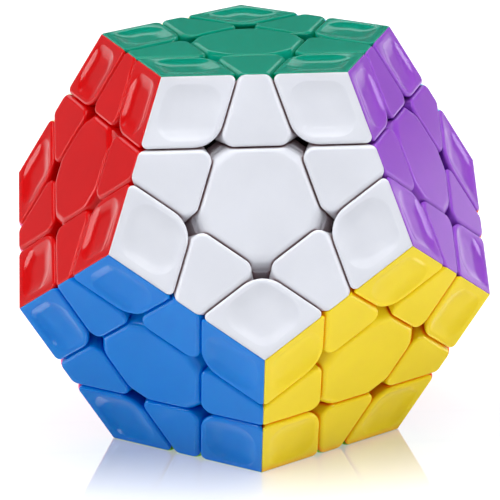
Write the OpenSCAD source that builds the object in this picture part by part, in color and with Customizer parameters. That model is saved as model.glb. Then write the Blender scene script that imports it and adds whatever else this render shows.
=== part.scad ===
// Dodecahedral face-turning puzzle: 12 centres, 30 edges and 20 corners around a twelve-armed core.
// The puzzle stands on its lime face. The origin is the middle of that face, +Z is up and +Y points back.
// Each piece is worked out in the frame of one face: Z along its normal, origin at the puzzle's middle.

/* [Body] */
// Length of one edge of the dodecahedron
edge_len = 30; // [28:0.5:34]
// Depth of a cut, measured on a face from the face's edge
cut_depth = 12.1; // [11.9:0.1:12.2]
// Gap between neighbouring pieces
gap = 0.3; // [0.2:0.05:0.4]
// Wall of the coloured shells
wall = 1.5; // [1.2:0.1:1.8]

/* [Corner holes] */
// How far a corner piece's inner corner is cut back
corner_cut = 1.1; // [0.4:0.1:1.2]
// How far an edge piece's inner corners are cut back
edge_cut = 1.4; // [0.6:0.1:1.5]
// How far a centre cap's corners are cut back
centre_cut = 0.6; // [0.5:0.1:1.5]

/* [Mechanism] */
// Radius of the sphere between the necks, outside it, and the feet, inside it
track_r = 24; // [24:0.1:24.2]
// Distance from the middle to the underside of every foot
foot_base = 20.6; // [20.4:0.1:20.8]
// Thickness of a foot
foot_thick = 2.4; // [2:0.1:2.4]
// Corner radius of the triangular corner stalk
stalk_r = 3.2; // [2.8:0.1:3.2]
// Corner radius of the triangular corner foot
corner_foot_r = 6; // [5.4:0.1:6]
// Width of an edge neck, across the puzzle's edge
neck_across = 6.2; // [5.8:0.1:6.2]
// Length of an edge neck, along the puzzle's edge
neck_along = 12.4; // [11.6:0.1:12.4]
// Width of an edge foot, across the puzzle's edge
foot_across = 10.4; // [9.8:0.1:10.4]
// Length of an edge foot, along the puzzle's edge
foot_along = 6.8; // [6:0.1:6.8]

/* [Centre hardware] */
// Radius of the hub under a centre cap
hub_r = 4.4; // [4:0.1:4.6]
// Radius of the spring cup in the hub
cup_r = 3.3; // [3.1:0.1:3.4]
// Distance from the middle to the cup's floor
cup_floor = 19.2; // [19:0.1:19.6]
// Radius of the screw's shank
screw_r = 1.2; // [1:0.05:1.3]
// Radius of the screw's head
head_r = 2.6; // [2.4:0.1:2.8]
// Middle radius of the spring's coil
coil_r = 2.4; // [2.3:0.05:2.5]
// Diameter of the spring's wire
wire_d = 0.55; // [0.45:0.05:0.6]
// Turns of the spring
turns = 4; // [3:1:5]
// Distance from the middle to the core block's flats
core_r = 9; // [8:0.5:10]
// Radius of the core's arms
arm_r = 3.6; // [3.2:0.1:3.8]

/* [Hidden] */

// Face numbers, also the rows of FACES
GREEN = 0;
WHITE = 1;
PURPLE = 2;
LIGHT_BLUE = 3;
CREAM = 4;
RED = 5;
YELLOW = 6;
ORANGE = 7;
GREY = 8;
PINK = 9;
BLUE = 10;
LIME = 11;

// Layers that turn, and the number that stands for every piece outside them
TURNING = [GREEN, BLUE, GREY];
BODY = -1;

// Angles of the dodecahedron, measured at its middle
face_to_face = acos(1 / sqrt(5));
face_to_edge = face_to_face / 2;
face_to_corner = acos(sqrt((5 + 2 * sqrt(5)) / 15));
mitre_tilt = 90 - face_to_edge;

// Each face's tilt from +Z, its azimuth, the turn about its own normal and its colour
FACES = [
    [0, 90, 0, "#008c55"],
    [face_to_face, 270, 0, "#e6e8ef"],
    [face_to_face, 342, 0, "#9d5fcb"],
    [face_to_face, 54, 0, "#7ec4ea"],
    [face_to_face, 126, 0, "#efe6c0"],
    [face_to_face, 198, 0, "#c81418"],
    [180 - face_to_face, 306, 180, "#eed237"],
    [180 - face_to_face, 18, 180, "#f07a1e"],
    [180 - face_to_face, 90, 180, "#8d9196"],
    [180 - face_to_face, 162, 180, "#ee86b4"],
    [180 - face_to_face, 234, 180, "#2f7dd2"],
    [180, 90, 0, "#8fce3c"],
];

// Distances from the puzzle's middle
face_r = edge_len * sqrt((25 + 11 * sqrt(5)) / 40);
cut_r = face_r - cut_depth * sin(face_to_face);
inner_cut = cut_r - gap / 2;
outer_cut = cut_r + gap / 2;

// Clearance between a neck or a spring and what bounds its place
play = 0.15;
// Clearance over the edge feet, below the centre's flange
foot_play = 0.2;
// How far a solid that joins another starts inside it
sink = 1;
// Half-angle of the cone, about a face's normal, that the necks of that face's layer stay inside.
// It meets the flat cut on a sphere of radius cut_r / cos(neck_cone).
neck_cone = 42;
// Clearance, as an angle, between an edge piece and the next layers' cones
cone_clear = 0.35;
// Tilt, from an edge piece's own axis, of the planes that keep it out of those cones
edge_end_tilt = mitre_tilt - neck_cone - cone_clear;

// Heights above the puzzle's middle
foot_top = foot_base + foot_thick;
neck_base = track_r + play;
edge_neck_top = 29.5;
edge_plug_h = 32;
corner_plug_h = 34;
edge_plug_len = 8;
cap_base = 28.95;
plate_top = 30;
cup_top = 30.6;
hub_base = 17.6;
arm_top = 17.5;
screw_tip = 9.5;
hole_end = 9;
washer_base = 25.3;
head_base = 25.9;
head_top = 27.6;
washer_r = 2.9;
washer_clear = 0.15;
thread_clear = 0.05;

// Base profile: the flare under the flange and the flange's rim, each on the sphere that holds the feet down
hub_clear = 1.5;
flare_r = 6.2;
flange_r = 8.5;
flange_top_r = 10.2;
flange_h = sqrt(pow(track_r + foot_play, 2) - pow(flange_r, 2));
flare_h = sqrt(pow(track_r + foot_play, 2) - pow(flare_r, 2));
flare_start_h = 21.5;

// Screw recess
slot_len = 3;
slot_w = 0.7;
slot_deep = 0.9;

// Spring mesh
coil_steps = 8;
wire_sides = 5;

// Half the size of the cubes that stand for half-spaces
far = 60;
$fn = 48;

// Slack, as an angle, when the faces round a piece are looked up
slack = 1;

// ---- Which pieces exist ----

function edge_azimuth(j) = 180 + 72 * j;
function corner_azimuth(j) = 216 + 72 * j;
function polar(tilt, azimuth) = [sin(tilt) * cos(azimuth), sin(tilt) * sin(azimuth), cos(tilt)];
function turn_y(v, a) = [v[0] * cos(a) + v[2] * sin(a), v[1], v[2] * cos(a) - v[0] * sin(a)];
function turn_z(v, a) = [v[0] * cos(a) - v[1] * sin(a), v[0] * sin(a) + v[1] * cos(a), v[2]];
// A direction in face f's frame, as a direction in the puzzle's frame
function from_face(f, v) = turn_z(turn_y(turn_z(v, FACES[f][2]), FACES[f][0]), FACES[f][1]);
function normal(f) = polar(FACES[f][0], FACES[f][1]);
// The faces whose normals lie within angle a of direction v
function faces_near(v, a) = [for (g = [GREEN:LIME]) if (normal(g) * v > cos(a)) g];
function edge_faces(f, j) =
    faces_near(from_face(f, polar(face_to_edge, edge_azimuth(j))), face_to_edge + slack);
function corner_faces(f, j) =
    faces_near(from_face(f, polar(face_to_corner, corner_azimuth(j))), face_to_corner + slack);
// The turning layer that a piece on these faces belongs to, or BODY
function layer_of(faces) = let (hits = [for (g = faces) if (len(search(g, TURNING)) > 0) g])
    len(hits) > 0 ? hits[0] : BODY;

// ---- Half-spaces and placing ----

module at_face(f) {
    translate([0, 0, face_r])
        rotate([0, FACES[f][0], FACES[f][1]])
            rotate([0, 0, FACES[f][2]])
                children();
}

// Turns children so that their Z lies along a direction in the face's frame
module along(tilt, azimuth) {
    rotate([0, 0, azimuth])
        rotate([0, tilt, 0])
            children();
}

module above(h) {
    translate([-far, -far, h])
        cube([2 * far, 2 * far, 2 * far]);
}

module below(h) {
    translate([-far, -far, h - 2 * far])
        cube([2 * far, 2 * far, 2 * far]);
}

module block(size, bottom, top) {
    translate([-size[0] / 2, -size[1] / 2, bottom])
        cube([size[0], size[1], top - bottom]);
}

// ---- Corner pieces ----

// The space inside a corner piece's cut planes for the two neighbouring faces, moved inwards by w
module corner_walls(j, w) {
    intersection() {
        along(face_to_face, edge_azimuth(j)) above(outer_cut + w);
        along(face_to_face, edge_azimuth(j + 1)) above(outer_cut + w);
    }
}

// The flat that opens the hole at a corner piece's inner corner, on this face or on another of its three
module corner_flat(j, w, turn = 0) {
    along(face_to_corner, corner_azimuth(j))
        along(mitre_tilt - face_to_corner, turn)
            above(outer_cut / cos(face_to_edge) + corner_cut + w);
}

module corner_stalk(j) {
    along(face_to_corner, corner_azimuth(j))
        translate([0, 0, foot_base])
            rotate([0, 0, 180])
                cylinder(h = corner_plug_h - foot_base, r = stalk_r, $fn = 3);
}

// One coloured shell of a corner piece
module corner_tile(j) {
    difference() {
        intersection() {
            corner_walls(j, 0);
            corner_flat(j, 0);
            below(face_r);
            along(-mitre_tilt, edge_azimuth(j)) above(0);
            along(-mitre_tilt, edge_azimuth(j + 1)) above(0);
        }
        intersection() {
            corner_walls(j, wall);
            corner_flat(j, wall);
            below(face_r - wall);
        }
        corner_stalk(j);
    }
}

// The inner frame of a corner piece: the plug inside its shells, the stalk and the foot
module corner_frame(j) {
    intersection() {
        above(outer_cut + wall);
        corner_walls(j, wall);
        intersection_for (turn = [0, 120, 240])
            corner_flat(j, wall, turn);
        along(face_to_corner, corner_azimuth(j)) below(corner_plug_h);
    }
    corner_stalk(j);
    along(face_to_corner, corner_azimuth(j))
        translate([0, 0, foot_base])
            rotate([0, 0, 180])
                cylinder(h = foot_thick, r = corner_foot_r, $fn = 3);
}

// ---- Edge pieces ----

// The space inside an edge piece's cut planes for the neighbouring faces, moved inwards by w. Its two end
// planes bend towards its own axis where the next layers' cones begin.
module edge_walls(j, w) {
    intersection() {
        along(face_to_face, edge_azimuth(j)) above(outer_cut + w);
        along(face_to_face, edge_azimuth(j - 1)) below(inner_cut - w);
        along(face_to_face, edge_azimuth(j + 1)) below(inner_cut - w);
        along(face_to_edge, edge_azimuth(j)) rotate([90 + edge_end_tilt, 0, 0]) below(-w);
        along(face_to_edge, edge_azimuth(j)) rotate([-90 - edge_end_tilt, 0, 0]) below(-w);
    }
}

// The two flats that open the holes at an edge piece's inner corners on this face
module edge_flats(j, w) {
    intersection() {
        along(90, corner_azimuth(j) - 90) above(gap + edge_cut + w);
        along(90, corner_azimuth(j - 1) + 90) above(gap + edge_cut + w);
    }
}

module edge_stem(j) {
    along(face_to_edge, edge_azimuth(j)) block([neck_across, neck_along], neck_base, edge_neck_top);
}

// One coloured shell of an edge piece
module edge_tile(j) {
    difference() {
        intersection() {
            edge_walls(j, 0);
            edge_flats(j, 0);
            below(face_r);
            along(-mitre_tilt, edge_azimuth(j)) above(0);
        }
        intersection() {
            edge_walls(j, wall);
            edge_flats(j, wall);
            below(face_r - wall);
        }
        edge_stem(j);
    }
}

// The inner frame of an edge piece: the plug inside its shells, the neck and the foot
module edge_frame(j) {
    intersection() {
        above(outer_cut + wall);
        edge_walls(j, wall);
        along(face_to_edge, edge_azimuth(j)) block([far, edge_plug_len], neck_base, edge_plug_h);
    }
    edge_stem(j);
    along(face_to_edge, edge_azimuth(j)) {
        block([neck_across, foot_along], foot_base, neck_base + sink);
        block([foot_across, foot_along], foot_base, foot_top);
    }
}

// ---- Centre pieces ----

// The space inside a centre's five cut planes and its corner flats, moved inwards by w
module centre_space(w) {
    intersection() {
        intersection_for (j = [0:4])
            along(face_to_face, edge_azimuth(j)) below(inner_cut - w);
        intersection_for (j = [0:4])
            along(mitre_tilt, corner_azimuth(j)) below(inner_cut / cos(face_to_edge) - centre_cut - w);
    }
}

module cap(f) {
    color(FACES[f][3])
        at_face(f)
            difference() {
                intersection() {
                    centre_space(0);
                    above(cap_base);
                    below(face_r);
                }
                intersection() {
                    centre_space(wall);
                    below(face_r - wall);
                }
            }
}

// The hub with its spring cup, the flange that holds the edge feet down, and the plate under the cap
module base(f) {
    color(FACES[f][3])
        at_face(f) {
            rotate_extrude()
                polygon([
                    [hub_clear, hub_base], [hub_r, hub_base], [hub_r, flare_start_h], [flare_r, flare_h],
                    [flange_r, flange_h], [flange_top_r, cap_base], [hub_r, cap_base], [hub_r, cup_top],
                    [cup_r, cup_top], [cup_r, cup_floor], [hub_clear, cup_floor],
                ]);
            difference() {
                intersection() {
                    centre_space(wall);
                    above(cap_base);
                    below(plate_top);
                }
                cylinder(h = far, r = hub_r - wall / 2);
            }
        }
}

// ---- Core and centre hardware ----

// A small dodecahedron, one flat to each arm
module core_block() {
    intersection_for (f = [GREEN:LIME])
        at_face(f) below(core_r);
}

module core() {
    color("#2b2c2f")
        difference() {
            union() {
                core_block();
                for (f = [GREEN:LIME])
                    at_face(f)
                        translate([0, 0, core_r - sink])
                            cylinder(h = arm_top - core_r + sink, r = arm_r);
            }
            for (f = [GREEN:LIME])
                at_face(f)
                    translate([0, 0, hole_end])
                        cylinder(h = far, r = screw_r + thread_clear);
        }
}

module screws() {
    color("#b9bcc2")
        for (f = [GREEN:LIME])
            at_face(f)
                difference() {
                    union() {
                        translate([0, 0, screw_tip]) cylinder(h = head_top - screw_tip, r = screw_r);
                        translate([0, 0, head_base]) cylinder(h = head_top - head_base, r = head_r);
                    }
                    block([slot_len, slot_w], head_top - slot_deep, far);
                    block([slot_w, slot_len], head_top - slot_deep, far);
                }
}

module washers() {
    color("#d8dade")
        for (f = [GREEN:LIME])
            at_face(f)
                difference() {
                    translate([0, 0, washer_base]) cylinder(h = head_base - washer_base, r = washer_r);
                    cylinder(h = far, r = screw_r + washer_clear);
                }
}

// A point on the wire of the spring: step i along the coil, side k around the wire
function wire_point(i, k) =
    let (steps = turns * coil_steps)
    let (a = 360 * i / coil_steps, b = 360 * k / wire_sides)
    let (low = cup_floor + wire_d / 2 + play, high = washer_base - wire_d / 2 - play)
    let (r = coil_r + wire_d / 2 * cos(b))
    [r * cos(a), r * sin(a), low + (high - low) * i / steps + wire_d / 2 * sin(b)];

module spring() {
    last = turns * coil_steps;
    points = [for (i = [0:last]) for (k = [0:wire_sides - 1]) wire_point(i, k)];
    start_cap = [[for (k = [0:wire_sides - 1]) k]];
    end_cap = [[for (k = [0:wire_sides - 1]) last * wire_sides + wire_sides - 1 - k]];
    sides = [for (i = [0:last - 1]) for (k = [0:wire_sides - 1])
        let (m = (k + 1) % wire_sides)
        [i * wire_sides + k, (i + 1) * wire_sides + k, (i + 1) * wire_sides + m, i * wire_sides + m]];
    polyhedron(points = points, faces = concat(start_cap, sides, end_cap), convexity = 8);
}

module springs() {
    color("#8f949b")
        for (f = [GREEN:LIME])
            at_face(f) spring();
}

// ---- Groups of shells and frames ----

// Every shell on face f that belongs to one layer, or to BODY
module tiles(f, layer) {
    color(FACES[f][3])
        for (j = [0:4]) {
            if (layer_of(corner_faces(f, j)) == layer)
                at_face(f) corner_tile(j);
            if (layer_of(edge_faces(f, j)) == layer)
                at_face(f) edge_tile(j);
        }
}

// Every corner frame of one layer. Each is drawn once, from the first of its faces.
module corner_frames(layer) {
    color("#2f3034")
        for (f = [GREEN:LIME])
            for (j = [0:4])
                if (layer_of(corner_faces(f, j)) == layer && min(corner_faces(f, j)) == f)
                    at_face(f) corner_frame(j);
}

module edge_frames(layer) {
    color("#3a3b40")
        for (f = [GREEN:LIME])
            for (j = [0:4])
                if (layer_of(edge_faces(f, j)) == layer && min(edge_faces(f, j)) == f)
                    at_face(f) edge_frame(j);
}

module layer_frames(layer) {
    corner_frames(layer);
    edge_frames(layer);
}

core();
screws();
washers();
springs();
corner_frames(BODY);
edge_frames(BODY);
layer_frames(GREEN);  // green_layer_frames
layer_frames(BLUE);  // blue_layer_frames
layer_frames(GREY);  // grey_layer_frames
cap(GREEN);  // green_cap
cap(WHITE);  // white_cap
cap(PURPLE);  // purple_cap
cap(LIGHT_BLUE);  // light_blue_cap
cap(CREAM);  // cream_cap
cap(RED);  // red_cap
cap(YELLOW);  // yellow_cap
cap(ORANGE);  // orange_cap
cap(GREY);  // grey_cap
cap(PINK);  // pink_cap
cap(BLUE);  // blue_cap
cap(LIME);  // lime_cap
base(GREEN);  // green_base
base(WHITE);  // white_base
base(PURPLE);  // purple_base
base(LIGHT_BLUE);  // light_blue_base
base(CREAM);  // cream_base
base(RED);  // red_base
base(YELLOW);  // yellow_base
base(ORANGE);  // orange_base
base(GREY);  // grey_base
base(PINK);  // pink_base
base(BLUE);  // blue_base
base(LIME);  // lime_base
tiles(GREEN, GREEN);  // green_layer_green_tiles
tiles(WHITE, GREEN);  // green_layer_white_tiles
tiles(PURPLE, GREEN);  // green_layer_purple_tiles
tiles(LIGHT_BLUE, GREEN);  // green_layer_light_blue_tiles
tiles(CREAM, GREEN);  // green_layer_cream_tiles
tiles(RED, GREEN);  // green_layer_red_tiles
tiles(BLUE, BLUE);  // blue_layer_blue_tiles
tiles(WHITE, BLUE);  // blue_layer_white_tiles
tiles(RED, BLUE);  // blue_layer_red_tiles
tiles(YELLOW, BLUE);  // blue_layer_yellow_tiles
tiles(PINK, BLUE);  // blue_layer_pink_tiles
tiles(LIME, BLUE);  // blue_layer_lime_tiles
tiles(GREY, GREY);  // grey_layer_grey_tiles
tiles(LIGHT_BLUE, GREY);  // grey_layer_light_blue_tiles
tiles(CREAM, GREY);  // grey_layer_cream_tiles
tiles(ORANGE, GREY);  // grey_layer_orange_tiles
tiles(PINK, GREY);  // grey_layer_pink_tiles
tiles(LIME, GREY);  // grey_layer_lime_tiles
tiles(WHITE, BODY);  // body_white_tiles
tiles(PURPLE, BODY);  // body_purple_tiles
tiles(LIGHT_BLUE, BODY);  // body_light_blue_tiles
tiles(CREAM, BODY);  // body_cream_tiles
tiles(RED, BODY);  // body_red_tiles
tiles(YELLOW, BODY);  // body_yellow_tiles
tiles(ORANGE, BODY);  // body_orange_tiles
tiles(PINK, BODY);  // body_pink_tiles
tiles(LIME, BODY);  // body_lime_tiles
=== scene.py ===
"""Looks for the dodecahedral twisty puzzle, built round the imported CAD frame.

Every shell is worked out once in the frame of a face, in millimetres: Z along the face's normal and the
origin at the puzzle's middle. Then it is placed on the twelve faces and joined into one piece per CAD node.
"""

import math

import bmesh
import bpy
import numpy as np
from mathutils import Matrix, Vector


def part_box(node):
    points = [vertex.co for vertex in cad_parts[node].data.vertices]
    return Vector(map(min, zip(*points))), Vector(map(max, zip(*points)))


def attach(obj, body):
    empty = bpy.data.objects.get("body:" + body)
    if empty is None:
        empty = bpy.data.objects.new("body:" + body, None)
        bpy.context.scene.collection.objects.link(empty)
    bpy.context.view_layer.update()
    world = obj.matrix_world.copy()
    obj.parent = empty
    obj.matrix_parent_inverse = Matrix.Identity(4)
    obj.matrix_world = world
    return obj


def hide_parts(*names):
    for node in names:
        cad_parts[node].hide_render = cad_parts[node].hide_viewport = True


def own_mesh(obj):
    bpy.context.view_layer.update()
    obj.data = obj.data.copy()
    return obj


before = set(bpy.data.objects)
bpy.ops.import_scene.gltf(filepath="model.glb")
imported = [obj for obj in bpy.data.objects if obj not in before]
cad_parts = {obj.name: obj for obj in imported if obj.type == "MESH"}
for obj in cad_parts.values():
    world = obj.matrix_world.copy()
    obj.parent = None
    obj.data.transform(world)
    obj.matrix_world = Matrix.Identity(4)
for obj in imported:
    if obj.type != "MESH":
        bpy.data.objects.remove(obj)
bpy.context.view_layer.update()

# ---- Driving dimensions of the CAD model, in millimetres ----

MM = 0.001
FACE_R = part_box("green_cap")[1].z / MM / 2
CUT_DEPTH = 12.1
GAP = 0.3
WALL = 1.5
CORNER_CUT = 1.1
EDGE_CUT = 1.4
CENTRE_CUT = 0.6
CAP_BASE = 28.95
STALK_R = 3.2
FOOT_BASE = 20.6
CORNER_PLUG = 34
NECK_ACROSS = 6.2
NECK_ALONG = 12.4
NECK_BASE = 24.15
NECK_TOP = 29.5
# Half angle of the cone that an edge neck turns in, and the clearance round it, in degrees
NECK_CONE = 42
CONE_CLEAR = 0.35
CUP_FLOOR = 19.2
WASHER_BASE = 25.3
COIL_R = 2.4
WIRE_R = 0.275
COIL_TURNS = 4
COIL_PLAY = 0.15

# ---- Angles of the dodecahedron, measured at its middle ----

FACE_TO_FACE = math.acos(1 / math.sqrt(5))
FACE_TO_EDGE = FACE_TO_FACE / 2
FACE_TO_CORNER = math.acos(math.sqrt((5 + 2 * math.sqrt(5)) / 15))
MITRE_TILT = math.pi / 2 - FACE_TO_EDGE
FIFTH = math.radians(72)
HALF_FIFTH = FIFTH / 2
EDGE_END_TILT = MITRE_TILT - math.radians(NECK_CONE + CONE_CLEAR)

CUT_R = FACE_R - CUT_DEPTH * math.sin(FACE_TO_FACE)
INNER_CUT = CUT_R - GAP / 2
OUTER_CUT = CUT_R + GAP / 2
# The shells reach a little over the CAD tiles, which leaves a finer seam
SEAM = 0.2
# A centre cap stands back this much more, so that it clears the seam when its spring gives
CAP_SPARE = 0.04
INNER_SEAM = CUT_R - SEAM / 2
OUTER_SEAM = CUT_R + SEAM / 2

# Each face: tilt from +Z, azimuth and turn about its own normal, in degrees
TILT = math.degrees(FACE_TO_FACE)
FACES = {
    "green": (0, 90, 0),
    "white": (TILT, 270, 0),
    "purple": (TILT, 342, 0),
    "light_blue": (TILT, 54, 0),
    "cream": (TILT, 126, 0),
    "red": (TILT, 198, 0),
    "yellow": (180 - TILT, 306, 180),
    "orange": (180 - TILT, 18, 180),
    "grey": (180 - TILT, 90, 180),
    "pink": (180 - TILT, 162, 180),
    "blue": (180 - TILT, 234, 180),
    "lime": (180, 90, 0),
}
TURNING = ("green", "blue", "grey")
BODY = "body"
# A piece belongs to a layer if the layer's face is no further from it than its own, give or take this much
SAME_TILT = math.radians(1)

# ---- Rounding of the shells, in millimetres ----

# Rim fillets: where the wall leans in under the rim, where it leans out, and where two colours meet
RIM_UNDER = 0.5
RIM_OUT = 0.85
RIM_MITRE = 0.12
# Corner radii of the outlines, at the wall
ROUND_HOLE_CORNER = 5.5
ROUND_HOLE_EDGE = 1.9
ROUND_MITRE_CORNER = 1.1
ROUND_MITRE_EDGE = 1.1
ROUND_VERTEX = 0.25
ROUND_LEAST = 0.1
# The dish of a corner shell: the width of its flat rim, the radii of its outline and of its floor, and the
# depth and width of its slope. The crease is the flat strip just outside it.
DISH_RIM = 1.45
DISH_ROUND = 2.8
DISH_ROUND_FLOOR = 0.4
DISH_DEPTH = 0.5
DISH_SLOPE = 3.3
DISH_CREASE = 0.12
# The ramp at each corner of a centre cap: where it starts, in from the sharp corner, and its depth. Then its
# bends, each to an angle below the flat and over a radius: into the fall, and out onto the foot.
RAMP_START = 2.2
RAMP_DEEP = 2.4
RAMP_END = -0.7
RAMP_BENDS = ((math.radians(62), 2.0), (math.radians(12), 0.6))
# Points in each rounded corner, along each straight, and over each fillet
ARC_STEPS = 9
SIDE_STEPS = 3
RIM_STEPS = 7
# Rings down a dish, down an edge shell's walls and down a ramp
DISH_STEPS = 10
WALL_STEPS = 6
RAMP_STEPS = 12
# The dish's first small step, and how quickly its slope levels out
DISH_EDGE = 0.03
DISH_BEND = 2.3
# Depth at which an edge shell's plain walls begin, and the width of the line at their foot
WALL_START = 1.6
LINE_WIDTH = 0.02
# Corner radii of a cap's outline, at the foot of the ramp and on the flat
ROUND_RAMP = (0.8, 3.2)
# Edges that fold more than this stay sharp
SHARP_ANGLE = math.radians(35)
# A ring this far inside a fillet keeps the flat's shading flat
FLAT_RING = 0.08
# Side of the block that the inner shapes are cut from
BLOCK = 120

# ---- Placing ----


def turn(axis, angle):
    return Matrix.Rotation(angle, 4, axis)


def face_matrix(face):
    """From a face's own frame to the puzzle's frame."""
    tilt, azimuth, twist = (math.radians(a) for a in FACES[face])
    return Matrix.Translation((0, 0, FACE_R)) @ turn("Z", azimuth) @ turn("Y", tilt) @ turn("Z", twist)


def along(tilt, azimuth):
    """Turns +Z to a direction in a face's frame."""
    return turn("Z", azimuth) @ turn("Y", tilt)


def edge_azimuth(j):
    return math.pi + FIFTH * j


def corner_azimuth(j):
    return math.pi + FIFTH * (j + 0.5)


def normal(face):
    return face_matrix(face).to_3x3() @ Vector((0, 0, 1))


def layer_of(face, tilt, azimuth):
    """The turning layer of the piece that lies in this direction in a face's frame, or BODY."""
    direction = face_matrix(face).to_3x3() @ along(tilt, azimuth).to_3x3() @ Vector((0, 0, 1))
    reach = math.cos(tilt + SAME_TILT)
    hits = [f for f in TURNING if normal(f).dot(direction) > reach]
    return hits[0] if hits else BODY


# ---- Outlines: convex polygons with rounded corners ----


class Side:
    """A wall: its outward azimuth, its distance at the face's height, its lean with depth and its fillet.

    The fold is the angle that the fillet turns through, from the flat top to the wall.
    """

    def __init__(self, azimuth, distance, lean, rim, fold):
        self.azimuth = azimuth
        self.distance = distance
        self.lean = lean
        self.rim = rim
        self.fold = fold

    def top_inset(self):
        return self.rim * math.tan(self.fold / 2)

    def rim_point(self, share):
        """Inset from the wall's line at the face's height, and depth, from 0 on the top to 1 on the wall."""
        a = self.fold * share
        return self.top_inset() - self.rim * math.sin(a), self.rim * (1 - math.cos(a))

    def inset_at(self, depth):
        """Inset at this depth, on the fillet or on the wall below it."""
        if depth >= self.rim * (1 - math.cos(self.fold)):
            return -self.lean * depth
        return self.rim_point(math.acos(1 - depth / self.rim) / self.fold)[0]


def side_above(azimuth):
    """The wall on the cut plane of the neighbour at this azimuth, for a piece beyond that plane."""
    distance = (FACE_R * math.cos(FACE_TO_FACE) - OUTER_SEAM) / math.sin(FACE_TO_FACE)
    lean = 1 / math.tan(FACE_TO_FACE)
    return Side(azimuth + math.pi, distance, -lean, RIM_UNDER, math.pi - FACE_TO_FACE)


def side_below(azimuth, spare=0):
    """The wall on the cut plane of the neighbour at this azimuth, for a piece inside that plane."""
    distance = (INNER_SEAM - spare - FACE_R * math.cos(FACE_TO_FACE)) / math.sin(FACE_TO_FACE)
    return Side(azimuth, distance, 1 / math.tan(FACE_TO_FACE), RIM_OUT, FACE_TO_FACE)


def side_mitre(azimuth):
    """The wall on the plane halfway to the neighbour at this azimuth."""
    slope = math.tan(FACE_TO_EDGE)
    return Side(azimuth, FACE_R * slope, -slope, RIM_MITRE, math.pi / 2 + FACE_TO_EDGE)


def crossing(a, b):
    """Where two lines, each an outward azimuth and a distance, cross."""
    (t, d), (u, e) = a, b
    det = math.sin(u - t)
    return np.array([(d * math.sin(u) - e * math.sin(t)) / det, (e * math.cos(t) - d * math.cos(u)) / det])


def outline(lines, radii, depths):
    """A ring of points, where corner i joins line i to the next.

    A corner's depth runs from its first line's depth to its second's.
    """
    arcs = []
    for i, (t, d) in enumerate(lines):
        k = (i + 1) % len(lines)
        u, e = lines[k]
        centre = crossing((t, d - radii[i]), (u, e - radii[i]))
        fold = (u - t) % (2 * math.pi)
        arc = []
        for step in range(ARC_STEPS):
            share = step / (ARC_STEPS - 1)
            x, y = centre + radii[i] * np.array([math.cos(t + fold * share), math.sin(t + fold * share)])
            arc.append((x, y, FACE_R - depths[i] * (1 - share) - depths[k] * share))
        arcs.append(np.array(arc))
    ring = []
    for i, arc in enumerate(arcs):
        following = arcs[(i + 1) % len(arcs)][0]
        shares = np.arange(1, SIDE_STEPS + 1)[:, None] / (SIDE_STEPS + 1)
        ring += [arc, arc[-1] + (following - arc[-1]) * shares]
    return np.vstack(ring)


def inset_ring(sides, radii, insets, depths):
    return outline([(s.azimuth, s.distance - i) for s, i in zip(sides, insets)], radii, depths)


def shrunk(radii, insets):
    """Corner radii of an outline moved in by these insets."""
    pairs = zip(insets, insets[1:] + insets[:1])
    return [max(r - max((a + b) / 2, 0), ROUND_LEAST) for r, (a, b) in zip(radii, pairs)]


def rim_rings(sides, radii):
    """Rings over the rim fillets, from the walls up to the flat top."""
    rings = []
    for step in range(RIM_STEPS, -1, -1):
        points = [s.rim_point(step / RIM_STEPS) for s in sides]
        insets = [p[0] for p in points]
        rings.append(inset_ring(sides, shrunk(radii, insets), insets, [p[1] for p in points]))
    tops = [s.top_inset() + FLAT_RING for s in sides]
    rings.append(inset_ring(sides, shrunk(radii, tops), tops, [0] * len(sides)))
    return rings


# ---- Meshes ----


def ring_mesh(name, rings, bottom=None):
    """A closed mesh through the rings, down to a bottom point or flat and up to a fan."""
    count = len(rings[0])
    verts = [tuple(p) for ring in rings for p in ring]
    following = [(i + 1) % count for i in range(count)]
    faces = []
    for r in range(len(rings) - 1):
        low, high = r * count, (r + 1) * count
        faces += [(low + i, low + k, high + k, high + i) for i, k in enumerate(following)]
    if bottom is None:
        faces.append(tuple(range(count - 1, -1, -1)))
    else:
        verts.append(bottom)
        faces += [(len(verts) - 1, k, i) for i, k in enumerate(following)]
    verts.append(tuple(rings[-1].mean(axis=0)))
    last = (len(rings) - 1) * count
    faces += [(last + i, last + k, len(verts) - 1) for i, k in enumerate(following)]
    return mesh_object(name, verts, faces)


def in_scene(name, data):
    """A new object in the scene that holds this mesh, camera or light."""
    obj = bpy.data.objects.new(name, data)
    bpy.context.scene.collection.objects.link(obj)
    return obj


def mesh_object(name, verts, faces):
    mesh = bpy.data.meshes.new(name)
    mesh.from_pydata(verts, [], faces)
    return in_scene(name, mesh)


def convex(name, planes):
    """A solid inside these planes. Each is a matrix whose +Z points out of it, and its distance along +Z."""
    bm = bmesh.new()
    bmesh.ops.create_cube(bm, size=BLOCK)
    for matrix, distance in planes:
        out = matrix.to_3x3() @ Vector((0, 0, 1))
        everything = bm.verts[:] + bm.edges[:] + bm.faces[:]
        cut = bmesh.ops.bisect_plane(
            bm, geom=everything, plane_co=out * distance, plane_no=out, clear_outer=True)
        bmesh.ops.holes_fill(bm, edges=[e for e in cut["geom_cut"] if isinstance(e, bmesh.types.BMEdge)])
    bmesh.ops.recalc_face_normals(bm, faces=bm.faces[:])
    mesh = bpy.data.meshes.new(name)
    bm.to_mesh(mesh)
    bm.free()
    return in_scene(name, mesh)


def below(tilt, azimuth, distance):
    """The plane across this direction at a distance, for a solid on its near side."""
    return along(tilt, azimuth), distance


def above(tilt, azimuth, distance):
    """The same plane, for a solid beyond it."""
    return along(tilt, azimuth) @ turn("X", math.pi), -distance


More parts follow.
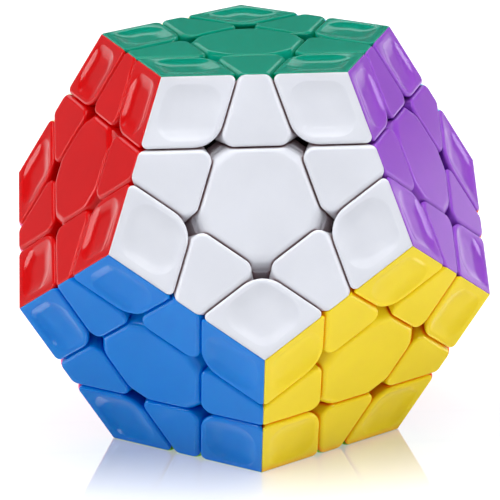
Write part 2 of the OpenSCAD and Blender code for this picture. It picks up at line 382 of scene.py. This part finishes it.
def prism(matrix, across, length, bottom, top):
    """The planes of a block round a matrix's Z axis."""
    return [
        (matrix @ turn("Y", math.pi / 2), across / 2), (matrix @ turn("Y", -math.pi / 2), across / 2),
        (matrix @ turn("X", math.pi / 2), length / 2), (matrix @ turn("X", -math.pi / 2), length / 2),
        (matrix, top), (matrix @ turn("X", math.pi), -bottom)]


def carved(body, cutters):
    """The body less the cutters, as an array of points and a list of faces."""
    for cutter in cutters:
        modifier = body.modifiers.new("cut", "BOOLEAN")
        modifier.operation = "DIFFERENCE"
        modifier.solver = "EXACT"
        modifier.object = cutter
    graph = bpy.context.evaluated_depsgraph_get()
    graph.update()
    mesh = bpy.data.meshes.new_from_object(body.evaluated_get(graph))
    verts = np.array([v.co[:] for v in mesh.vertices])
    faces = [tuple(p.vertices) for p in mesh.polygons]
    for obj in [body] + cutters:
        bpy.data.objects.remove(obj, do_unlink=True)
    return verts, faces


# ---- The three kinds of shell ----


def corner_shell():
    """A corner shell with its vertex along +X: a dished top, and walls down to the piece's inner point."""
    sides = [
        side_mitre(-HALF_FIFTH), side_mitre(HALF_FIFTH),
        side_above(-HALF_FIFTH), side_above(HALF_FIFTH)]
    rings = rim_rings(sides, [ROUND_VERTEX, ROUND_MITRE_CORNER, ROUND_HOLE_CORNER, ROUND_MITRE_CORNER])
    rings.append(inset_ring(sides, [DISH_ROUND] * 4, [DISH_RIM - DISH_CREASE] * 4, [0] * 4))
    for step in range(DISH_STEPS + 1):
        share = step / DISH_STEPS
        depth = DISH_EDGE + DISH_DEPTH * (1 - (1 - share) ** DISH_BEND)
        radius = DISH_ROUND * (1 - share) + DISH_ROUND_FLOOR * share
        rings.append(inset_ring(sides, [radius] * 4, [DISH_RIM + DISH_SLOPE * share] * 4, [depth] * 4))
    body = ring_mesh("corner", rings, (OUTER_SEAM * math.tan(FACE_TO_CORNER), 0, OUTER_SEAM))
    hollow = convex("hollow", [
        below(0, 0, FACE_R - WALL),
        above(FACE_TO_FACE, HALF_FIFTH, OUTER_CUT + WALL),
        above(FACE_TO_FACE, -HALF_FIFTH, OUTER_CUT + WALL),
        above(MITRE_TILT, 0, OUTER_CUT / math.cos(FACE_TO_EDGE) + CORNER_CUT + WALL)])
    axis = along(FACE_TO_CORNER, 0)
    flats = [(axis @ turn("Z", math.tau / 3 * k) @ turn("Y", math.pi / 2), STALK_R / 2) for k in range(3)]
    stalk = convex("stalk", flats + [(axis, CORNER_PLUG), (axis @ turn("X", math.pi), -FOOT_BASE)])
    return carved(body, [hollow, stalk])


def edge_shell():
    """An edge shell with its outer side along +X: a flat top, and walls down to the piece's inner line."""
    sides = [side_mitre(0), side_below(FIFTH), side_above(0), side_below(-FIFTH)]
    radii = [ROUND_MITRE_EDGE, ROUND_HOLE_EDGE, ROUND_HOLE_EDGE, ROUND_MITRE_EDGE]
    deepest = FACE_R - OUTER_SEAM
    rings = []
    for step in range(WALL_STEPS):
        depth = WALL_START + (deepest - WALL_START) * (1 - step / WALL_STEPS) - LINE_WIDTH
        small = [max(r * (1 - depth / deepest), LINE_WIDTH / 4) for r in radii]
        rings.append(inset_ring(sides, small, [s.inset_at(depth) for s in sides], [depth] * 4))
    rings += rim_rings(sides, radii)
    body = ring_mesh("edge", rings)
    axis = along(FACE_TO_EDGE, 0)
    ends = [axis @ turn("X", side * (math.pi / 2 + EDGE_END_TILT)) for side in (-1, 1)]
    flat = GAP + EDGE_CUT + WALL
    hollow = convex("hollow", [
        below(0, 0, FACE_R - WALL),
        above(FACE_TO_FACE, 0, OUTER_CUT + WALL),
        below(FACE_TO_FACE, FIFTH, INNER_CUT - WALL),
        below(FACE_TO_FACE, -FIFTH, INNER_CUT - WALL),
        above(math.pi / 2, HALF_FIFTH - math.pi / 2, flat),
        above(math.pi / 2, math.pi / 2 - HALF_FIFTH, flat)] + [(end, -WALL) for end in ends])
    neck = convex("neck", prism(axis, NECK_ACROSS, NECK_ALONG, NECK_BASE, NECK_TOP))
    beyond = [convex("end", [(end @ turn("X", math.pi), 0)]) for end in ends]
    return carved(body, [hollow, neck] + beyond)


def ramp_profile():
    """Depth and inset down a ramp: over its first bend, down the fall, over its second and to its end."""
    (fall, round_in), (foot, round_out) = RAMP_BENDS
    points = []
    for step in range(RAMP_STEPS + 1):
        a = fall * step / RAMP_STEPS
        points.append((round_in * (1 - math.cos(a)), RAMP_START - round_in * math.sin(a)))
    depth, inset = points[-1]
    bend_drop = round_out * (math.cos(foot) - math.cos(fall))
    straight = RAMP_DEEP - bend_drop - depth
    depth, inset = depth + straight, inset - straight / math.tan(fall)
    for step in range(RAMP_STEPS // 2 + 1):
        a = fall + (foot - fall) * step / (RAMP_STEPS // 2)
        points.append((depth + round_out * (math.cos(a) - math.cos(fall)),
                       inset - round_out * (math.sin(fall) - math.sin(a))))
    depth, inset = points[-1]
    points.append((depth + (inset - RAMP_END) * math.tan(foot), RAMP_END))
    return points


def cap_shell():
    """A centre cap: a flat top whose corners run down as ramps, and walls that lean out below the rim."""
    gaps = [side_below(edge_azimuth(j), CAP_SPARE) for j in range(5)]
    sharp = gaps[0].distance / math.cos(HALF_FIFTH)

    def cap_ring(depth, ramp, radius):
        lines = []
        for side in gaps:
            lines.append((side.azimuth, side.distance - side.inset_at(depth)))
            lines.append((side.azimuth + HALF_FIFTH, sharp - ramp))
        return outline(lines, [radius] * 10, [depth] * 10)

    profile = ramp_profile()
    deepest = FACE_R - CAP_BASE
    corner_lean = gaps[0].lean / math.cos(HALF_FIFTH)
    last_depth, last_ramp = profile[-1]
    rings = [cap_ring(deepest, last_ramp - corner_lean * (deepest - last_depth), ROUND_RAMP[0])]
    for i, (depth, ramp) in reversed(list(enumerate(profile))):
        share = min(i / RAMP_STEPS, 1)
        rings.append(cap_ring(depth, ramp, ROUND_RAMP[1] + (ROUND_RAMP[0] - ROUND_RAMP[1]) * share))
    lines = []
    for side in gaps:
        lines.append((side.azimuth, side.distance - side.top_inset() - FLAT_RING))
        lines.append((side.azimuth + HALF_FIFTH, sharp - RAMP_START - FLAT_RING))
    rings.append(outline(lines, [ROUND_RAMP[1]] * 10, [0] * 10))
    body = ring_mesh("cap", rings)
    flat = INNER_CUT / math.cos(FACE_TO_EDGE) - CENTRE_CUT - WALL
    hollow = convex("hollow", [below(0, 0, FACE_R - WALL)]
                    + [below(FACE_TO_FACE, edge_azimuth(j), INNER_CUT - WALL) for j in range(5)]
                    + [below(MITRE_TILT, corner_azimuth(j), flat) for j in range(5)])
    return carved(body, [hollow])


def placed(shell, matrix):
    """A copy of a shell, moved by a matrix."""
    verts, faces = shell
    spin = np.array(matrix.to_3x3())
    return verts @ spin.T + np.array(matrix.translation), faces


def joined(name, shells):
    """One object from several placed shells, in metres, with its flats flat and its fillets smooth."""
    verts, faces, start = [], [], 0
    for points, polygons in shells:
        verts.append(points)
        faces += [tuple(start + v for v in polygon) for polygon in polygons]
        start += len(points)
    obj = mesh_object(name, (np.vstack(verts) * MM).tolist(), faces)
    obj.data.shade_smooth()
    obj.data.set_sharp_from_angle(angle=SHARP_ANGLE)
    return obj


# ---- Materials ----

WHITE = (1, 1, 1, 1)
# Most of a noise lies between these values
NOISE_SPAN = (0.3, 0.7)
# A colour Mix node's sockets: the two colours that go in, and the one that comes out
MIX_A, MIX_B, MIX_OUT = 6, 7, 2

# Each kind of material has noises, each a scale and a detail, shades of its colour, a least and a greatest
# roughness, and the height of its bumps in metres.
# Glossy plastic: mottling, orange peel and haze
MOTTLE = (90, 3)
PEEL = (420, 2)
HAZE = (2600, 3)
GLOSS_SHADES = (0.97, 1.03)
GLOSS_ROUGH = (0.08, 0.13)
PEEL_HEIGHT = 0.0000015
# How much of the haze's noise is in the peel's bumps, and the index of refraction
HAZE_SHARE = 0.1
GLOSS_IOR = 1.35
# How white, from 0 to 1, a reflection is when seen square on; the rest takes the plastic's colour
SHINE_WHITE = 0.5
# How far light spreads inside the plastic, in metres
SCATTER = 0.0008
# Painted gap shade and glow: rays for the occlusion that paints it, how far walls shade each other, in
# metres, and how much sky is left, from the deepest to the open ones
GAP_SAMPLES = 6
GAP_REACH = 0.0025
GAP_SHADE = (0.1, 0.55)
# Satin plastic: mottling and the grain of its mould
SATIN_MOTTLE = (120, 4)
SATIN_GRAIN = (3800, 4)
SATIN_SHADES = (0.85, 1.2)
SATIN_ROUGH = (0.38, 0.55)
GRAIN_HEIGHT = 0.00003
# Steel: clouds and turning marks. Its roughness starts where each steel says.
STEEL_CLOUD = (500, 3)
STEEL_MARKS = (6000, 2)
STEEL_SHADES = (0.88, 1.05)
STEEL_ROUGH = 0.14
MARK_HEIGHT = 0.00001


def linear(code):
    """A colour from its hex code, as linear red, green, blue and alpha."""
    shares = [int(code[i:i + 2], 16) / 255 for i in (0, 2, 4)]
    return tuple(c / 12.92 if c <= 0.04045 else ((c + 0.055) / 1.055) ** 2.4 for c in shares) + (1,)


class Nodes:
    """A new material's node tree."""

    def __init__(self, name):
        self.material = bpy.data.materials.new(name)
        self.material.use_nodes = True
        self.tree = self.material.node_tree
        self.shader = self.tree.nodes["Principled BSDF"]
        self.coordinates = self.add("ShaderNodeTexCoord")

    def add(self, kind, **values):
        node = self.tree.nodes.new(kind)
        for key, value in values.items():
            setattr(node, key, value)
        return node

    def link(self, a, b):
        self.tree.links.new(a, b)

    def noise(self, scale, detail):
        node = self.add("ShaderNodeTexNoise")
        node.inputs["Scale"].default_value = scale
        node.inputs["Detail"].default_value = detail
        self.link(self.coordinates.outputs["Object"], node.inputs["Vector"])
        return node.outputs["Fac"]

    def ramp(self, source, low, high):
        """A colour or grey that follows a noise between two values."""
        node = self.add("ShaderNodeValToRGB")
        for element, position, value in zip(node.color_ramp.elements, NOISE_SPAN, (low, high)):
            element.position = position
            element.color = value if isinstance(value, tuple) else (value, value, value, 1)
        self.link(source, node.inputs["Fac"])
        return node.outputs["Color"]

    def span(self, source, ends, low, high):
        """A value that runs from low to high while the source runs between two ends."""
        node = self.add("ShaderNodeMapRange")
        limits = {"From Min": ends[0], "From Max": ends[1], "To Min": low, "To Max": high}
        for key, value in limits.items():
            node.inputs[key].default_value = value
        self.link(source, node.inputs["Value"])
        return node.outputs["Result"]

    def bump(self, heights, distance):
        """Bump from (noise, share) pairs, with heights up to a distance in metres."""
        total = None
        for source, share in heights:
            part = self.add("ShaderNodeMath", operation="MULTIPLY")
            part.inputs[1].default_value = share
            self.link(source, part.inputs[0])
            if total is None:
                total = part.outputs[0]
            else:
                both = self.add("ShaderNodeMath", operation="ADD")
                self.link(total, both.inputs[0])
                self.link(part.outputs[0], both.inputs[1])
                total = both.outputs[0]
        node = self.add("ShaderNodeBump")
        node.inputs["Distance"].default_value = distance
        self.link(total, node.inputs["Height"])
        self.link(node.outputs["Normal"], self.shader.inputs["Normal"])


def shades(colour, factors):
    """The colour made darker or brighter by each factor."""
    return [tuple(min(c * factor, 1) for c in colour[:3]) + (1,) for factor in factors]


def mixed(a, b, share):
    return tuple(p + (q - p) * share for p, q in zip(a, b))


def gloss_plastic(name, code, painted_gap_colour):
    """Moulded-in colour with a polished surface: faint mottling, a little haze and a trace of orange peel.

    Its narrow gaps take a colour painted in by ambient occlusion: painted shade and glow, standing in for
    light that the plastic lets through.
    """
    colour = linear(code)
    nodes = Nodes(name)
    shader = nodes.shader.inputs
    cloud = nodes.noise(*MOTTLE)
    peel = nodes.noise(*PEEL)
    grain = nodes.noise(*HAZE)
    # Painted shade and glow: where ambient occlusion finds a gap, the base colour turns to the painted gap
    # colour
    crevice = nodes.add("ShaderNodeAmbientOcclusion", samples=GAP_SAMPLES)
    crevice.inputs["Distance"].default_value = GAP_REACH
    both = nodes.add("ShaderNodeMix", data_type="RGBA")
    both.inputs[MIX_A].default_value = linear(painted_gap_colour)
    nodes.link(nodes.span(crevice.outputs["AO"], GAP_SHADE, 0, 1), both.inputs[0])
    nodes.link(nodes.ramp(cloud, *shades(colour, GLOSS_SHADES)), both.inputs[MIX_B])
    nodes.link(both.outputs[MIX_OUT], shader["Base Color"])
    nodes.link(nodes.ramp(grain, *GLOSS_ROUGH), shader["Roughness"])
    nodes.bump([(peel, 1), (grain, HAZE_SHARE)], PEEL_HEIGHT)
    shader["IOR"].default_value = GLOSS_IOR
    shader["Specular Tint"].default_value = mixed(colour, WHITE, SHINE_WHITE)
    shader["Subsurface Weight"].default_value = 1
    shader["Subsurface Radius"].default_value = (1, 1, 1)
    shader["Subsurface Scale"].default_value = SCATTER
    return nodes.material


def satin_plastic(name, code):
    """Moulded inner plastic, with the fine texture of an unpolished mould."""
    colour = linear(code)
    nodes = Nodes(name)
    shader = nodes.shader.inputs
    cloud = nodes.noise(*SATIN_MOTTLE)
    grain = nodes.noise(*SATIN_GRAIN)
    nodes.link(nodes.ramp(cloud, *shades(colour, SATIN_SHADES)), shader["Base Color"])
    nodes.link(nodes.ramp(grain, *SATIN_ROUGH), shader["Roughness"])
    nodes.bump([(grain, 1)], GRAIN_HEIGHT)
    return nodes.material


def steel(name, code, rough):
    """Bare or plated steel with fine turning marks."""
    colour = linear(code)
    nodes = Nodes(name)
    shader = nodes.shader.inputs
    cloud = nodes.noise(*STEEL_CLOUD)
    marks = nodes.noise(*STEEL_MARKS)
    nodes.link(nodes.ramp(cloud, *shades(colour, STEEL_SHADES)), shader["Base Color"])
    nodes.link(nodes.ramp(marks, rough, rough + STEEL_ROUGH), shader["Roughness"])
    nodes.bump([(marks, 1)], MARK_HEIGHT)
    shader["Metallic"].default_value = 1
    return nodes.material


# Each plastic's colour, and the colour of the painted shade and glow in its gaps
COLOURS = {
    "green": ("00826a", "008850"),
    "white": ("d3d5dc", "966e6e"),
    "purple": ("8a48b8", "6c2ca0"),
    "light_blue": ("74c0ea", "50a4dc"),
    "cream": ("efe5bb", "dcc48c"),
    "red": ("bc090b", "f00000"),
    "yellow": ("e4cb18", "ff8000"),
    "orange": ("f2741a", "ec5c10"),
    "grey": ("8b8f95", "74787e"),
    "pink": ("ee7fb1", "e06098"),
    "blue": ("0075c8", "006ce0"),
    "lime": ("8acb36", "72bc20"),
}
PLASTICS = {name: gloss_plastic(name + "_plastic", *codes) for name, codes in COLOURS.items()}
CORE_PLASTIC = satin_plastic("core_plastic", "2b2c30")
FRAME_PLASTIC = satin_plastic("frame_plastic", "4a403e")
STEEL = steel("steel", "c6c8cc", 0.22)
ZINC = steel("zinc", "dcdee2", 0.16)


def finish_with(obj, material):
    obj.data.materials.append(material)


# ---- Shells in place of the CAD tiles and caps ----

CORNER = corner_shell()
EDGE = edge_shell()
CAP = cap_shell()


def shells_of(face, layer):
    """Every corner and edge shell on a face that belongs to a layer."""
    shells = []
    for j in range(5):
        if layer_of(face, FACE_TO_CORNER, corner_azimuth(j)) == layer:
            shells.append(placed(CORNER, face_matrix(face) @ turn("Z", corner_azimuth(j))))
        if layer_of(face, FACE_TO_EDGE, edge_azimuth(j)) == layer:
            shells.append(placed(EDGE, face_matrix(face) @ turn("Z", edge_azimuth(j))))
    return shells


def stand_for(piece, node, body, face):
    """Puts a shell on its body, in place of its CAD node and in its face's plastic."""
    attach(piece, body)
    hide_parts(node)
    finish_with(piece, PLASTICS[face])


for face in FACES:
    cap = joined(face + "_cap_shell", [placed(CAP, face_matrix(face))])
    stand_for(cap, face + "_cap", face + "_centre", face)
    for layer in TURNING + (BODY,):
        shells = shells_of(face, layer)
        if shells:
            body = layer if layer == BODY else layer + "_layer"
            node = f"{body}_{face}_tiles"
            stand_for(joined(node + "_shells", shells), node, body, face)

# ---- Springs in place of the CAD coils ----

# Steps in each turn of the wire, points round it, and how much closer its ends are wound, from 0 to 1
TURN_STEPS = 32
WIRE_SIDES = 10
COIL_EASE = 0.4


def coil():
    """A spring's round wire along Z, wound closer towards both ends."""
    steps, sides = COIL_TURNS * TURN_STEPS, WIRE_SIDES
    low = CUP_FLOOR + WIRE_R + COIL_PLAY
    rise = WASHER_BASE - WIRE_R - COIL_PLAY - low
    verts, faces = [], []
    for i in range(steps + 1):
        share = i / steps
        a = math.tau * COIL_TURNS * share
        eased = share * share * (3 - 2 * share)
        z = low + rise * (share + (eased - share) * COIL_EASE)
        for k in range(sides):
            b = math.tau * k / sides
            r = COIL_R + WIRE_R * math.cos(b)
            verts.append((r * math.cos(a), r * math.sin(a), z + WIRE_R * math.sin(b)))
    for i in range(steps):
        for k in range(sides):
            m = (k + 1) % sides
            faces.append((i * sides + k, (i + 1) * sides + k, (i + 1) * sides + m, i * sides + m))
    faces.append(tuple(range(sides)))
    faces.append(tuple(steps * sides + sides - 1 - k for k in range(sides)))
    return np.array(verts), faces


COIL = coil()
for face in FACES:
    spring = joined(face + "_spring_coil", [placed(COIL, face_matrix(face))])
    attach(spring, BODY)
    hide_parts("springs")
    finish_with(spring, STEEL)
    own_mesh(spring)

# ---- Finishes for the CAD nodes that stay ----

STAYING = {"core": CORE_PLASTIC, "screws": STEEL, "washers": ZINC}
for node in ["corner_frames", "edge_frames"] + [layer + "_layer_frames" for layer in TURNING]:
    STAYING[node] = FRAME_PLASTIC
for face in FACES:
    STAYING[face + "_base"] = PLASTICS[face]
for node, material in STAYING.items():
    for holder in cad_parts[node].material_slots:
        holder.material = material

# ---- Camera, floor and lights ----

# The view: angles in degrees, distances in millimetres. The aim is measured across and up the picture from
# the puzzle's middle.
AZIMUTH = -2.64
ELEVATION = 18.349
ROLL = -0.835
DISTANCE = 535.55
AIM_ACROSS = -0.156
AIM_UP = -2.928
LENS = 227.76
SENSOR = 36
# The nearest that the camera sees, in metres
CLIP_START = 0.01

# The room round the puzzle, which the plastic reflects: its brightness and colour. Only the camera sees the
# plain backdrop.
ROOM = 0.08
ROOM_COLOUR = (0.9, 0.95, 1, 1)
PLAIN = 0.95

# The backdrop: where it ends to the sides, as the direction's Y, and its brightness at heights, as the sine
# of the elevation
BACKDROP_EDGE = (0.63, 0.69)
BACKDROP = ((0, 0.24), (0.13, 0.24), (0.2, 0.1), (0.3, 0.12), (0.34, 1.25), (0.43, 1.25), (0.48, 0.08))

# The floor's own glow, its greatest share of mirror, the places, in metres along Y and to each side, where
# that share grows and fades, and half its width
FLOOR_GLOW = 0.66
POLISH = 0.58
POLISH_FRONT = (-0.041, -0.014)
POLISH_BACK = (0.0, 0.02)
POLISH_SIDE = (0.045, 0.075)
FLOOR_HALF = 3
# The floor's noise, shades of grey and roughness, and the roughness of its polish
FLOOR_CLOUD = (30, 2)
FLOOR_GREYS = (0.5, 0.52)
FLOOR_ROUGH = (0.4, 0.45)
POLISH_ROUGH = 0.03

# Softboxes: azimuth and elevation in degrees, distance and size in metres, and power in watts
SOFTBOXES = {
    "left_box": (-64, 28, 0.75, (0.16, 0.4), 1.8),
    "right_box": (60, 26, 0.8, (0.16, 0.4), 1.7),
    "left_strip": (-107, 10, 0.8, (0.24, 0.42), 1.7),
    "right_strip": (110, 8, 0.8, (0.24, 0.42), 1.7),
    "front_strip": (0, 54, 0.9, (0.9, 0.06), 1.0),
    "top_box": (0, 88, 0.9, (0.9, 0.9), 10.3),
}


def direction(azimuth, elevation):
    """A unit vector to a place round the puzzle: azimuth 0 is straight in front, towards -Y."""
    a, e = math.radians(azimuth), math.radians(elevation)
    return Vector((math.sin(a) * math.cos(e), -math.cos(a) * math.cos(e), math.sin(e)))


def aimed(obj, place, target, roll=0):
    """Puts an object at a place with its -Z towards a target."""
    back = (place - target).normalized()
    right = Vector((0, 0, 1)).cross(back).normalized()
    spin = Matrix((right, back.cross(right), back)).transposed() @ Matrix.Rotation(roll, 3, "Z")
    obj.matrix_world = Matrix.Translation(place) @ spin.to_4x4()


def add_camera():
    data = bpy.data.cameras.new("camera")
    data.sensor_width = SENSOR
    data.lens = LENS
    data.clip_start = CLIP_START
    camera = in_scene("camera", data)
    back = direction(AZIMUTH, ELEVATION)
    middle = Vector((0, 0, FACE_R))
    aimed(camera, middle + back, middle, math.radians(ROLL))
    spin = camera.matrix_world.to_3x3()
    aim = middle + spin @ Vector((AIM_ACROSS, AIM_UP, 0))
    aimed(camera, (aim + back * DISTANCE) * MM, aim * MM, math.radians(ROLL))
    bpy.context.scene.camera = camera


def add_floor():
    """A wide white floor, polished in front of the puzzle so that it mirrors it faintly."""
    half = FLOOR_HALF
    corners = [(-half, -half, 0), (half, -half, 0), (half, half, 0), (-half, half, 0)]
    floor = mesh_object("floor", corners, [(0, 1, 2, 3)])
    nodes = Nodes("floor")
    cloud = nodes.noise(*FLOOR_CLOUD)
    nodes.link(nodes.ramp(cloud, *FLOOR_GREYS), nodes.shader.inputs["Base Color"])
    nodes.link(nodes.ramp(cloud, *FLOOR_ROUGH), nodes.shader.inputs["Roughness"])
    nodes.shader.inputs["Emission Color"].default_value = WHITE
    nodes.shader.inputs["Emission Strength"].default_value = FLOOR_GLOW
    split = nodes.add("ShaderNodeSeparateXYZ")
    nodes.link(nodes.coordinates.outputs["Object"], split.inputs[0])
    front = nodes.span(split.outputs["Y"], POLISH_FRONT, 0, POLISH)
    back = nodes.span(split.outputs["Y"], POLISH_BACK, 1, 0)
    aside = nodes.add("ShaderNodeMath", operation="ABSOLUTE")
    nodes.link(split.outputs["X"], aside.inputs[0])
    side = nodes.span(aside.outputs[0], POLISH_SIDE, 1, 0)
    lengthwise = nodes.add("ShaderNodeMath", operation="MULTIPLY")
    nodes.link(front, lengthwise.inputs[0])
    nodes.link(back, lengthwise.inputs[1])
    share = nodes.add("ShaderNodeMath", operation="MULTIPLY")
    nodes.link(lengthwise.outputs[0], share.inputs[0])
    nodes.link(side, share.inputs[1])
    mirror = nodes.add("ShaderNodeBsdfGlossy")
    mirror.inputs["Roughness"].default_value = POLISH_ROUGH
    both = nodes.add("ShaderNodeMixShader")
    nodes.link(share.outputs[0], both.inputs[0])
    nodes.link(nodes.shader.outputs[0], both.inputs[1])
    nodes.link(mirror.outputs[0], both.inputs[2])
    nodes.link(both.outputs[0], nodes.tree.nodes["Material Output"].inputs["Surface"])
    floor.data.materials.append(nodes.material)


def add_softbox(name, azimuth, elevation, distance, size, power):
    """A rectangular area light aimed at the puzzle."""
    data = bpy.data.lights.new(name, "AREA")
    data.shape = "RECTANGLE"
    data.size, data.size_y = size
    data.energy = power
    lamp = in_scene(name, data)
    middle = Vector((0, 0, FACE_R * MM))
    aimed(lamp, middle + direction(azimuth, elevation) * distance, middle)


def add_world():
    """A dim room with a backdrop behind. The camera itself sees a plain pale one wherever it looks."""
    world = bpy.data.worlds.new("studio")
    world.use_nodes = True
    bpy.context.scene.world = world
    tree = world.node_tree
    coordinates = tree.nodes.new("ShaderNodeTexCoord")
    split = tree.nodes.new("ShaderNodeSeparateXYZ")
    profile = tree.nodes.new("ShaderNodeValToRGB")
    blend = tree.nodes.new("ShaderNodeMapRange")
    stops = profile.color_ramp.elements
    while len(stops) < len(BACKDROP):
        stops.new(0.5)
    for stop, (height, value) in zip(stops, BACKDROP):
        stop.position = height
        stop.color = (value, value, value, 1)
    blend.inputs["From Min"].default_value = BACKDROP_EDGE[0]
    blend.inputs["From Max"].default_value = BACKDROP_EDGE[1]
    blend.inputs["To Min"].default_value = ROOM
    tree.links.new(coordinates.outputs["Generated"], split.inputs[0])
    tree.links.new(split.outputs["Z"], profile.inputs["Fac"])
    tree.links.new(split.outputs["Y"], blend.inputs["Value"])
    tree.links.new(profile.outputs["Color"], blend.inputs["To Max"])
    light = tree.nodes["Background"]
    light.inputs["Color"].default_value = ROOM_COLOUR
    tree.links.new(blend.outputs["Result"], light.inputs["Strength"])
    seen = tree.nodes.new("ShaderNodeBackground")
    seen.inputs["Color"].default_value = WHITE
    seen.inputs["Strength"].default_value = PLAIN
    rays = tree.nodes.new("ShaderNodeLightPath")
    both = tree.nodes.new("ShaderNodeMixShader")
    tree.links.new(rays.outputs["Is Camera Ray"], both.inputs[0])
    tree.links.new(light.outputs[0], both.inputs[1])
    tree.links.new(seen.outputs[0], both.inputs[2])
    tree.links.new(both.outputs[0], tree.nodes["World Output"].inputs["Surface"])


bpy.context.scene.view_settings.view_transform = "Standard"
add_camera()
add_floor()
add_world()
for name, values in SOFTBOXES.items():
    add_softbox(name, *values)
